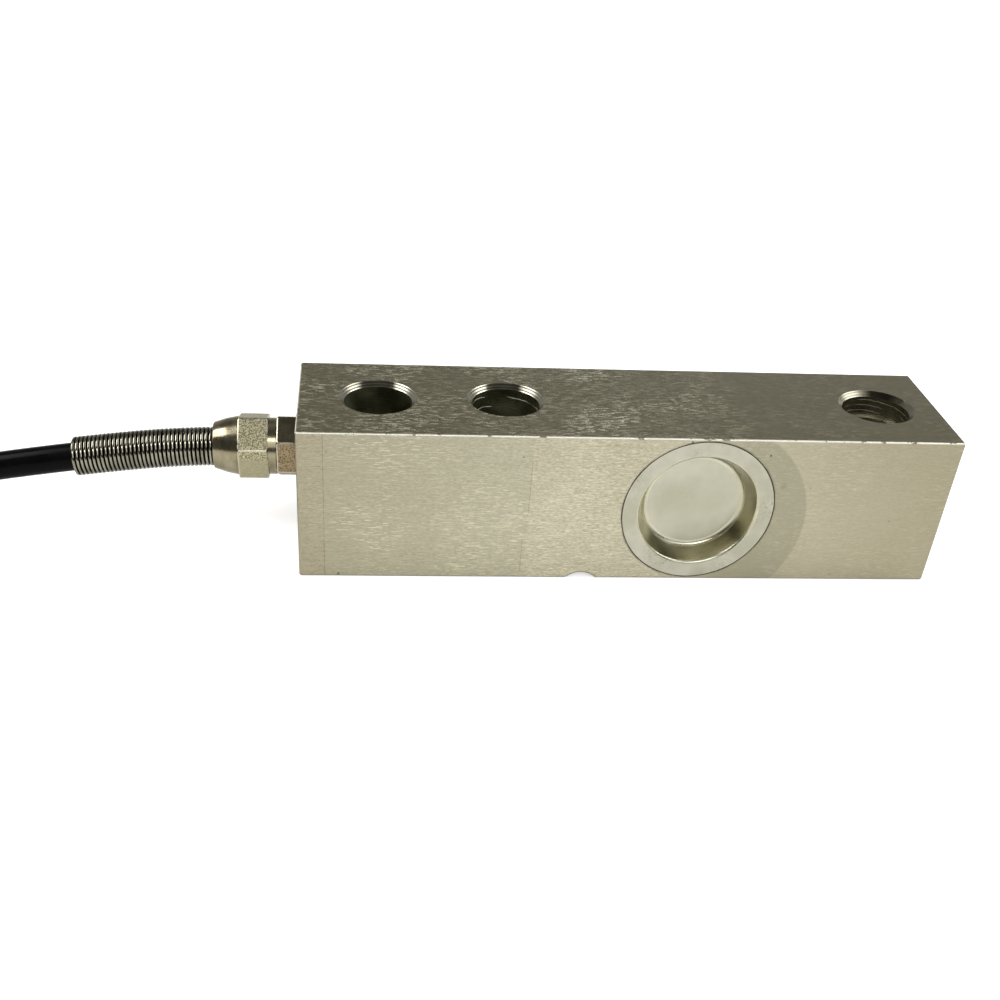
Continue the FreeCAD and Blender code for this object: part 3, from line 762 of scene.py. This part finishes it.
plainFinishes = {name: plainFinish(name, *look) for name, look in plainLooks.items()}
boredSteelFinish = boredSteel("boredSteel", boredLook)
edgeSteelFinish = edgeSteel(edgeLook)
beamFinishes = {
    "ground": groundSteel(groundLook),
    "bore": boredSteelFinish,
    "recess": boredSteel("recessSteel", recessLook),
    "chamfer": chamferSteel("chamferSteel", chamferLook),
    "loadChamfer": chamferSteel("loadChamfer", loadChamferLook),
    "edge": edgeSteelFinish,
    # the ledge in the load hole takes the same near-white colour, a painted highlight
    "ledge": edgeSteelFinish,
    "seat": plainFinishes["seatGrime"],
    # painted contact shadow: the faces within 1.5 mm of the floor are dark
    "foot": plainFinishes["footGrime"],
}
cupFinishes = [
    coat("cupFlange", cupFlangeLook),
    coat("cupLip", cupLipLook),
    coat("cupWall", cupWallLook),
    coat("cupDisc", cupDiscLook),
]
nickelFinish = coat("nickelPlate", nickelLook)
flatsFinish = nickelFlats("nickelFlats", flatsLook)
baseFlatsFinish = nickelFlats("baseFlats", baseFlatsLook)
shineFinish = coat("nickelShine", shineLook)
springFinish = springWire(springLook)
jacketFinish = cableJacket(jacketLook)
print("finishes built,", len(bpy.data.materials), "materials")


# Beam: the CAD shape with smooth bores, its cut surfaces in their own finish
beamZones = {"boreReach": 7.0 * mm, "chamferReach": 8.3 * mm, "skin": 0.05 * mm, "edge": 0.32 * mm,
             "recess": 5.0 * mm, "seatReach": 15.7 * mm, "seatDepth": 0.8 * mm, "footHeight": 1.5 * mm,
             "wallSlope": 0.3, "flatSlope": 0.95, "ledgeSlope": 0.9}


def cupReach(place):
    return math.hypot(place.x - cupCentre.x, place.z - cupCentre.z)


def beamZone(piece, face, zones):
    place = face.center
    reach, holeX = min((math.hypot(place.x - x, place.y), x) for x in holePlaces)
    upright = abs(face.normal.z)
    below = beamHigh.z - place.z
    if reach < zones["boreReach"] and upright < zones["wallSlope"]:
        return "recess" if holeX == loadHoleX and below < zones["recess"] else "bore"
    if reach < zones["chamferReach"] and zones["wallSlope"] <= upright < zones["flatSlope"]:
        return "loadChamfer" if holeX == loadHoleX else "chamfer"
    if reach < zones["boreReach"] and below > zones["skin"] and face.normal.z > zones["ledgeSlope"]:
        return "ledge"
    if zones["skin"] < beamHigh.y - abs(place.y) < zones["seatDepth"]:
        if max(cupReach(piece.data.vertices[index].co) for index in face.vertices) < zones["seatReach"]:
            return "seat"
    if 0 < place.z - beamLow.z < zones["footHeight"]:
        return "foot"
    depths = [min(high - at, at - low) for at, low, high in zip(place, beamLow, beamHigh)]
    onEdge = sum(depth < zones["edge"] for depth in depths) > 1
    return "edge" if below < zones["edge"] and onEdge else "ground"


beam = smoothCopy("beam_body", "beam")
dress(beam, "ground_steel", *beamFinishes.values())
brokenEdges = set()
for face in beam.data.polygons:
    zone = beamZone(beam, face, beamZones)
    face.material_index = list(beamFinishes).index(zone)
    if zone == "edge":
        brokenEdges.update(face.edge_keys)
for edge in beam.data.edges:
    if edge.key in brokenEdges:
        edge.use_edge_sharp = False
addModifier(beam, "WEIGHTED_NORMAL", keep_sharp=True, weight=100)
print("beam dressed")


# Thread ridge in the load hole
loadThread = {"wall": 6.03 * mm, "crest": 5.15 * mm, "pitch": 1.75 * mm, "foot": 1.55 * mm,
              "tip": 0.3 * mm, "low": 2.0 * mm, "ledge": 5.3 * mm, "steps": 56}


def addLoadThread(spec):
    clearSelection()
    bpy.ops.mesh.primitive_plane_add(size=1, location=(loadHoleX, 0, spec["low"]))
    piece = bpy.context.object
    piece.name = "load_thread"
    profile = [(spec["wall"], -spec["foot"] / 2), (spec["wall"], spec["foot"] / 2),
               (spec["crest"], -spec["tip"] / 2), (spec["crest"], spec["tip"] / 2)]
    for vertex, (radius, height) in zip(piece.data.vertices, profile):
        vertex.co = (radius, 0, height)
    selectAll(piece)
    bpy.ops.mesh.delete(type="ONLY_FACE")
    rise = beamHigh.z - spec["ledge"] - spec["low"] - spec["foot"]
    addModifier(piece, "SCREW", screw_offset=spec["pitch"], iterations=int(rise / spec["pitch"]),
                steps=spec["steps"], render_steps=spec["steps"], use_merge_vertices=False)
    switchTo("EDIT")
    bpy.ops.mesh.select_all(action="DESELECT")
    bpy.ops.mesh.select_mode(type="EDGE")
    bpy.ops.mesh.select_non_manifold(extend=False)
    bpy.ops.mesh.edge_face_add()
    bpy.ops.mesh.select_mode(type="VERT")
    faceOutward(piece)
    settle(piece)
    smooth(piece, 30)
    return piece


dress(addLoadThread(loadThread), "ground_steel", boredSteelFinish)
print("load thread cut")


# Sealing cups, front and rear: dull flange, bright wall, satin disc, turned with a tight lip and foot
cupSpec = {
    "face": [(12.7, 0.0), (12.55, 0.0), (12.3, 0.03), (12.08, 0.11), (11.91, 0.26), (11.8, 0.5),
             (10.44, 3.62), (10.31, 3.94), (10.1, 4.2), (9.82, 4.35), (9.5, 4.4), (9.35, 4.4),
             (0.0, 4.4)],  # mm, reach and depth
    "back": [(10.7, 1.0), (12.2, 0.11)],  # mm, and share of the depth
    "zones": [(12.42, 0), (11.75, 1), (10.4, 2), (9.4, 1), (0.0, 3)],  # least reach in mm, finish
    "steps": 160,
    "crease": 40,
}


def addCup(side, outerY, inward, spec):
    low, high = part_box(side + "_sealing_cup")
    rim = (high.x - low.x) / 2
    deep = high.y - low.y
    front = [(rim, 0.0)] + [(reach * mm, depth * mm) for reach, depth in spec["face"]]
    back = [(0.0, deep)] + [(reach * mm, share * deep) for reach, share in spec["back"]]
    back.append((rim, back[-1][1]))
    points = [(reach, inward * depth, 0) for reach, depth in front + back]
    links = [(step, step + 1) for step in range(len(points) - 1) if step != len(front) - 1]
    outline = bpy.data.meshes.new(side + "_cup")
    outline.from_pydata(points, links + [(len(points) - 1, 0)], [])
    cup = newObject(side + "_cup", outline)
    addModifier(cup, "SCREW", axis="Y", steps=spec["steps"], render_steps=spec["steps"],
                use_merge_vertices=True, merge_threshold=0.002 * mm)
    cup.location = (cupCentre.x, outerY, cupCentre.z)
    settle(cup)
    faceOutward(cup)
    smooth(cup, spec["crease"])
    dress(cup, "cup_steel", *cupFinishes)
    for face in cup.data.polygons:
        reach = cupReach(face.center) / mm
        face.material_index = next(finish for least, finish in spec["zones"] if reach >= least)
    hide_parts(side + "_sealing_cup")


addCup("front", beamLow.y, 1, cupSpec)
addCup("rear", beamHigh.y, -1, cupSpec)
print("cups dressed")


# Gland: a polished base and a nut with grainy flats, each flat with a lighter border that is a painted
# highlight along its edges
glandSpec = {"border": 0.2 * mm, "rise": 0.06 * mm, "crease": 24, "flatArea": 8e-6, "flatTilt": 0.02,
             "grainyBelow": 17.0 * mm}


def addGlandPiece(nodeName, pieceName, spec, flats, grainyBelow):
    piece = smoothCopy(nodeName, pieceName)
    dress(piece, "nickel_plate", nickelFinish, shineFinish, flats)
    for face in piece.data.polygons:
        isFlat = abs(face.normal.x) < spec["flatTilt"] and face.area > spec["flatArea"]
        face.material_index = int(isFlat)
    selectWhere(piece, "FACE", lambda face: face.material_index == 1)
    bpy.ops.mesh.inset(thickness=spec["border"], depth=spec["rise"], use_individual=True)
    switchTo("OBJECT")
    for face in piece.data.polygons:
        if face.select:
            face.material_index = 2 if face.center.z < grainyBelow else 0
    smooth(piece, spec["crease"])
    addModifier(piece, "WEIGHTED_NORMAL", keep_sharp=True, weight=100)


addGlandPiece("gland_body", "gland_base", glandSpec, baseFlatsFinish, glandSpec["grainyBelow"])
addGlandPiece("gland_nut", "gland_cap", glandSpec, flatsFinish, beamHigh.z)
print("gland dressed")


# Cable: out of the gland, down to the floor, then wound into the hank
cableRoute = [  # mm, from the end of the jacket in the gland to the start of the hank
    (-30.4, 9.4, 15.9),
    (-49.5, 9.4, 15.9),
    (-72.0, 9.4, 13.3),
    (-95.0, 9.6, 9.6),
    (-112.5, 12.0, 5.0),
    (-127.5, 14.4, 2.9),
    (-142.0, 14.4, 2.9),
]
cableSpec = {"diameter": 5.8 * mm, "length": 3.0, "waistDraw": 8.7 * mm, "turnsUp": 5.37, "columns": 2,
             "pointsPerStretch": 7, "crossFrom": 5.27, "crossTo": 5.47, "squeeze": 0.065,
             "squeezeReach": 9.0 * mm, "tailTurn": 0.25}


def middleOf(nodeName):
    low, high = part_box(nodeName)
    return (low + high) / 2


def windHank(spec):
    low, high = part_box("cable_hank")
    middle = middleOf("cable_hank")
    tail = middleOf("lead_sleeve")
    width = spec["diameter"]
    outer = (high.y - low.y - width) / 2
    inner = outer - width * (spec["columns"] - 1)
    half = (high.x - low.x) / 2 - outer - width / 2
    perTurn = 4 * spec["pointsPerStretch"]
    last = 2 * spec["turnsUp"]
    points = []
    for step in range(int(last * perTurn) + 1):
        turn = step / perTurn
        onTail = turn > last - spec["tailTurn"]
        stretch, share = divmod((turn % 1.0) * 4, 1.0)
        shift = (turn - spec["crossFrom"]) / (spec["crossTo"] - spec["crossFrom"])
        shift = min(1.0, max(0.0, shift))
        radius = outer + (inner - outer) * shift * shift * (3 - 2 * shift)
        way = 1 if stretch < 2 else -1  # +1 runs out on the rear side and round the far loop
        if stretch in (0, 2):
            x = way * half * (1 - 2 * share)
            waist = (1 + math.cos(math.pi * x / half)) / 2
            if onTail and x > 0:
                waist = 1.0  # the tail runs straight on, into the near loop
            y = way * (radius - spec["waistDraw"] * waist)
        else:
            angle = math.pi * share
            x = -way * (half + radius * math.sin(angle))
            y = way * radius * math.cos(angle)
        z = width / 2 + width * min(turn, last - turn)
        pull = spec["squeeze"] * math.exp(-((x / spec["squeezeReach"]) ** 2))
        y -= y * pull
        z += (middle.z - z) * pull
        place = Vector((middle.x + x, middle.y + y, z))
        if onTail and place.x > tail.x - width:
            break
        points.append(place)
    points.append(tail)
    return points


def curveThrough(name, points, radius, resolution=6, roundness=6):
    data = bpy.data.curves.new(name, "CURVE")
    data.dimensions = "3D"
    spline = data.splines.new("NURBS")
    spline.points.add(len(points) - 1)
    for point, place in zip(spline.points, points):
        point.co = (*place, 1.0)
    spline.order_u = 3
    spline.use_endpoint_u = True
    data.resolution_u = resolution
    data.use_fill_caps = True
    piece = newObject(name, data)
    line = bpy.data.meshes.new_from_object(piece)  # the bare line, before it gets its thickness
    places = [vertex.co.copy() for vertex in line.vertices]
    data.bevel_depth = radius
    data.bevel_resolution = roundness
    return piece, places


def makeMesh(piece):
    makeActive(piece)
    bpy.ops.object.convert(target="MESH")


cableLine = [Vector(place) * mm for place in cableRoute] + windHank(cableSpec)
cable, cablePlaces = curveThrough("cable", cableLine, cableSpec["diameter"] / 2)
dress(cable, "cable_jacket", jacketFinish)
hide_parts("cable_run", "cable_hank")
print("cable laid,", len(cableLine), "points")


# Bend spring: a close coil that follows the cable out of the nut
springSpec = {"wire": 0.82 * mm, "pitch": 0.86 * mm, "outside": 8.2 * mm, "seat": 11.5 * mm,
              "length": 33.9 * mm, "pointsPerTurn": 20}


def walkAlong(places, distance):
    for before, after in zip(places, places[1:]):
        step = (after - before).length
        if distance <= step:
            return before.lerp(after, distance / step), (after - before).normalized()
        distance -= step
    return places[-1], (places[-1] - places[-2]).normalized()


def addSpring(spec):
    turns = round(spec["length"] / spec["pitch"])
    coil = (spec["outside"] - spec["wire"]) / 2
    start = spec["seat"] + spec["wire"] / 2
    steps = turns * spec["pointsPerTurn"]
    points = []
    for step in range(steps + 1):
        angle = 2 * math.pi * step / spec["pointsPerTurn"]
        distance = start + step / steps * (spec["length"] - spec["wire"])
        centre, along = walkAlong(cablePlaces, distance)
        side = along.cross(Vector((0, 0, 1))).normalized()
        up = side.cross(along)
        points.append(centre + (side * math.cos(angle) + up * math.sin(angle)) * coil)
    makeMesh(curveThrough("bend_coil", points, spec["wire"] / 2, resolution=2, roundness=2)[0])
    bpy.ops.object.shade_smooth()
    return bpy.context.object


coilSpring = addSpring(springSpec)
dress(coilSpring, "spring_steel", springFinish)
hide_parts("bend_spring")
print("spring wound")


# Tie round the waist of the hank
tieSpec = {"width": 4.8 * mm, "thick": 1.0 * mm, "corner": 3.0 * mm, "headLength": 6.5 * mm,
           "headDepth": 4.0 * mm, "headHeight": 7.0 * mm, "headWall": 0.9 * mm, "headHollow": 1.2 * mm,
           "tail": 6.0 * mm, "tailInset": 0.2 * mm, "tailFrom": 1.3 * mm, "tailTo": 2.5 * mm,
           "rounding": 0.35 * mm}


def addBlock(name, centreX, width, low, high):  # low and high are in Y and Z
    clearSelection()
    corners = Vector((centreX - width / 2, *low)), Vector((centreX + width / 2, *high))
    bpy.ops.mesh.primitive_cube_add(size=1, location=(corners[0] + corners[1]) / 2)
    piece = bpy.context.object
    piece.name = name
    piece.scale = corners[1] - corners[0]
    settle(piece)
    return piece


def addTie(spec):
    low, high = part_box("cable_hank")
    tieLow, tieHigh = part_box("hank_tie")
    middle = middleOf("cable_hank")
    frontFace = tieLow.y + spec["headDepth"]
    headTop = middle.z + spec["headHeight"]
    band = addBlock("hank_strap", middle.x, spec["width"], (frontFace, low.z), (tieHigh.y, high.z))
    selectWhere(band, "FACE", lambda face: abs(face.normal.x) > 0.9)
    bpy.ops.mesh.delete(type="FACE")
    switchTo("OBJECT")
    across = [vertex.co.x for vertex in band.data.vertices]
    selectWhere(band, "EDGE", lambda edge: abs(across[edge.vertices[0]] - across[edge.vertices[1]]) > mm)
    bpy.ops.mesh.bevel(offset=spec["corner"], segments=8, affect="EDGES")
    addModifier(band, "SOLIDIFY", thickness=spec["thick"], offset=-1.0)
    head = addBlock("strapHead", middle.x, spec["headLength"], (tieLow.y, middle.z),
                    (frontFace + spec["rounding"], headTop))
    selectWhere(head, "FACE", lambda face: face.normal.z > 0.9)
    bpy.ops.mesh.inset(thickness=spec["headWall"])
    bpy.ops.mesh.extrude_region_move(TRANSFORM_OT_translate={"value": (0, 0, -spec["headHollow"])})
    switchTo("OBJECT")
    tail = addBlock("strapTail", middle.x, spec["width"] - 2 * spec["tailInset"],
                    (tieLow.y + spec["tailFrom"], middle.z),
                    (tieLow.y + spec["tailTo"], headTop + spec["tail"]))
    makeActive(band)
    for part in (head, tail):
        part.select_set(True)
    bpy.ops.object.join()
    addModifier(band, "BEVEL", width=spec["rounding"], segments=2, limit_method="ANGLE",
                angle_limit=math.radians(50))
    smooth(band, 35)
    return band


strap = addTie(tieSpec)
dress(strap, "tie_nylon", plainFinishes["tieNylon"])
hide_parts("hank_tie")
print("hank tied")


# Far end: shrink sleeve and bare-ended leads
leadSpec = {"diameter": 1.1 * mm, "bare": 5.0 * mm, "strand": 0.34 * mm, "pitch": 1.5 * mm,
            "rings": (2, 0, 1, 3, 4), "angles": (-50, 0, 50), "sleeve": 8.0 * mm, "crease": 40}
leadFinishes = {"red": "redInsulation", "black": "blackInsulation", "green": "greenInsulation",
                "white": "whiteInsulation", "shield": "tinnedBraid"}


def leadRoute(order, spec):
    end = middleOf("lead_sleeve")
    count = len(spec["rings"])
    turn = 2 * math.pi * order / count
    start = end + Vector((0, math.sin(turn), math.cos(turn))) * spec["pitch"]
    loop = Vector((end.x + spec["sleeve"], middleOf("cable_hank").y, spec["diameter"] / 2))
    ring = loop.y - end.y + (spec["rings"][order] - (count - 1) / 2) * spec["pitch"]
    points = [start, start + Vector((spec["sleeve"] / 2 + 2 * spec["diameter"], 0, 0))]
    for angle in map(math.radians, spec["angles"]):
        points.append(loop + Vector((math.cos(angle), math.sin(angle), 0)) * ring)
    return points


def addLead(order, colour, spec):
    points = leadRoute(order, spec)
    end = points[-1]
    outward = (end - points[-2]).normalized()
    tip = [end - outward * mm, end + outward * spec["bare"] / 2, end + outward * spec["bare"]]
    lead = curveThrough(colour + "_lead", points, spec["diameter"] / 2, resolution=8, roundness=3)[0]
    bare = curveThrough(colour + "_strands", tip, spec["strand"], resolution=4, roundness=2)[0]
    for piece in (lead, bare):
        makeMesh(piece)
        smooth(piece, spec["crease"])
    slot = "shield_braid" if colour == "shield" else "wire_" + colour
    dress(lead, slot, plainFinishes[leadFinishes[colour]])
    dress(bare, "shield_braid", plainFinishes["tinnedBraid"])
    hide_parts("lead_" + colour)
    return [lead, bare]


endPieces = [strap, cadNodes["lead_sleeve"]]
for order, colour in enumerate(leadFinishes):
    endPieces += addLead(order, colour, leadSpec)
print("leads laid")


# Pieces that stay as their CAD nodes
nodeFinishes = {
    "shrinkSleeve": ["lead_sleeve"],
    "gaugeFoil": ["front_strain_gauge", "rear_strain_gauge"],
    "lacqueredCopper": ["front_gauge_wires", "rear_gauge_wires"],
    "silicone": ["front_gauge_coating", "rear_gauge_coating"],
    "circuitBoard": ["front_terminal_strip", "rear_terminal_board"],
    "resistorBody": ["trim_resistors"],
    "potting": ["channel_sealant"],
    "sealRubber": ["gland_o_ring", "gland_grommet"],
    "redInsulation": ["core_red"],
    "blackInsulation": ["core_black"],
    "greenInsulation": ["core_green"],
    "whiteInsulation": ["core_white", "web_jumper_wires"],
}
for finish, nodeNames in nodeFinishes.items():
    for nodeName in nodeNames:
        cadNodes[nodeName].material_slots[0].material = plainFinishes[finish]
cadNodes["gland_washer"].material_slots[0].material = nickelFinish
print("inner pieces finished")


# Floor, world and lamps
stageLook = {
    "floor": 6.0,
    "drop": 0.05 * mm,
    "paper": (0.8, 0.8, 0.79, 1.0),
    "paperRough": 0.8,
    "paperSpecular": 0.1,
    "farFrom": (0.25, 0.8, 0.66, 1.0),  # how white the floor shows, near the object and far off
    "glossShare": 0.34,
    "ambient": (0.2, 0.2, 0.195, 1.0),
    # how bright each height of the room is, behind the object and in front of it
    "backStops": [(0.0, 0.6), (0.12, 0.42), (0.42, 0.25), (0.7, 0.14), (0.86, 0.26), (1.0, 0.1)],
    "frontStops": [(0.0, 0.3), (0.08, 0.12), (0.6, 0.08), (1.0, 0.06)],
    "backFrom": (-0.45, 0.25),
    "warmth": 0.97,
    "white": (1, 1, 1, 1),
}


def addFloor(look):
    clearSelection()
    bpy.ops.mesh.primitive_plane_add(size=look["floor"], location=(0, 0, -look["drop"]))
    floor = bpy.context.object
    floor.name = "paperFloor"
    material, tree, shader = newMaterial("paperFloor", look["paperRough"], metallic=0.0)
    shader["Base Color"].default_value = look["paper"]
    shader["Specular IOR Level"].default_value = look["paperSpecular"]
    shader["Emission Color"].default_value = look["white"]
    path = addNode(tree, "ShaderNodeLightPath").outputs
    lift = ease(tree, vectorMaths(tree, "LENGTH", onPiece(tree)), *look["farFrom"])
    mirrored = most(tree, path["Is Glossy Ray"], path["Is Transmission Ray"])
    seen = timesPlus(tree, mirrored, look["glossShare"], path["Is Camera Ray"])
    plug(tree, times(tree, seen, lift), shader["Emission Strength"])
    floor.data.materials.append(material)


def heightRamp(tree, height, stops, warmth):
    ramp = addNode(tree, "ShaderNodeValToRGB")
    plug(tree, height, ramp.inputs["Fac"])
    marks = ramp.color_ramp.elements
    while len(marks) < len(stops):
        marks.new(0.5)
    for mark, (position, bright) in zip(marks, stops):
        mark.position = position
        mark.color = (bright, bright, bright * warmth, 1.0)
    return ramp.outputs["Color"]


def lightWorld(look):
    world = bpy.data.worlds.new("whiteStudio")
    world.use_nodes = True
    scene.world = world
    tree = world.node_tree
    direction = split(tree, onPiece(tree, "Generated"))
    behind = heightRamp(tree, direction["Z"], look["backStops"], look["warmth"])
    before = heightRamp(tree, direction["Z"], look["frontStops"], look["warmth"])
    room = mixColour(tree, ease(tree, direction["Y"], *look["backFrom"]), before, behind)
    path = addNode(tree, "ShaderNodeLightPath").outputs
    seen = most(tree, path["Is Camera Ray"], path["Is Transmission Ray"])
    unseen = mixColour(tree, path["Is Glossy Ray"], look["ambient"], room)
    plug(tree, mixColour(tree, seen, unseen, look["white"]), tree.nodes["Background"].inputs["Color"])


lamps = {  # place, size and power
    "rightSoftbox": ((0.6, 0.02, 0.42), (0.46, 0.4), 2.2),
    "leftSoftbox": ((-0.5, 0.05, 0.52), (0.4, 0.34), 2.1),
    "frontSoftbox": ((0.21, -0.56, 0.48), (0.75, 0.48), 1.55),
    "frontBar": ((-0.06, -0.5, 0.64), (0.5, 0.14), 1.1),
    "topSoftbox": ((0.3, 0.13, 0.66), (0.5, 0.4), 0.6),
}
lampTarget = Vector((30 * mm, 0, 15 * mm))


def addLamp(name, place, size, power):
    data = bpy.data.lights.new(name, "AREA")
    data.shape = "RECTANGLE"
    data.size, data.size_y = size
    data.energy = power
    lamp = newObject(name, data)
    lamp.location = place
    lamp.rotation_euler = (lampTarget - lamp.location).to_track_quat("-Z", "Y").to_euler()


addFloor(stageLook)
lightWorld(stageLook)
for name, spec in lamps.items():
    addLamp(name, *spec)
print("stage lit")
